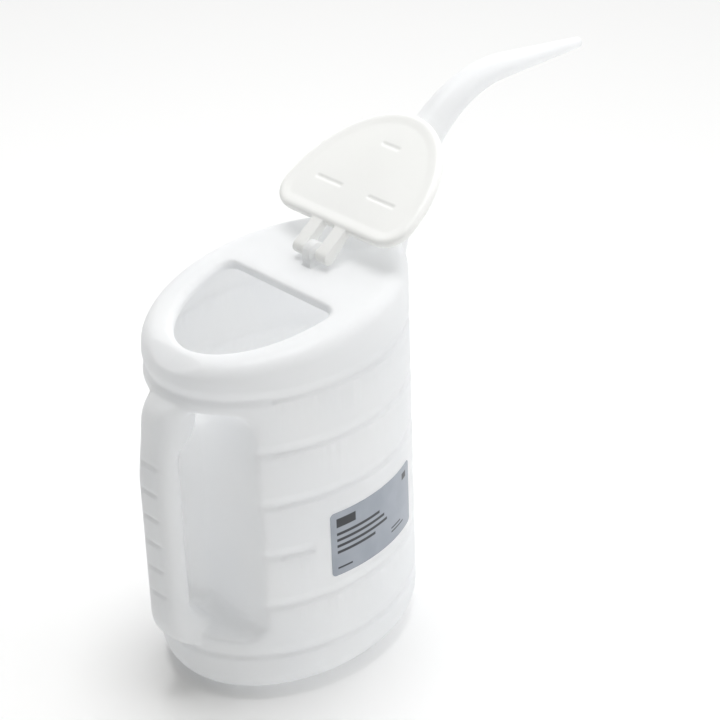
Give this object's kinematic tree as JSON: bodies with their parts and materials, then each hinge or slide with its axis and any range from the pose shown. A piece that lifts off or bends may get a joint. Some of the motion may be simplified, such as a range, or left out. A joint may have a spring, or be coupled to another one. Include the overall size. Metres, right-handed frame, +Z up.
{
  "type": "coolant filling can",
  "caption": "Oval blow-moulded coolant filling can with a side hand hole and grip handle, a long bent pouring spout, a hinged lid and a bare label",
  "frame": {"origin": "centre of the oval base, on the surface that the can stands on", "axes": "+X towards the spout, +Y to the can's left, +Z up; the can is symmetric about the plane Y = 0"},
  "size_m": [0.4173, 0.155, 0.37],
  "materials": {
    "natural_plastic": "natural, slightly translucent, fine moulded skin",
    "lid_plastic": "white, smooth, slightly worn",
    "label_film": "silver-grey satin film"
  },
  "bodies": {
    "can": {"can_body": "natural_plastic", "label": "label_film"},
    "lid": {"lid": "lid_plastic"}
  },
  "joints": [
    {"name": "lid_hinge", "type": "hinge", "parent": "can", "child": "lid", "pos_m": [0.03533, 0, 0.28473], "axis": [0, -1, 0], "range_deg": [0, 157.6]}
  ]
}
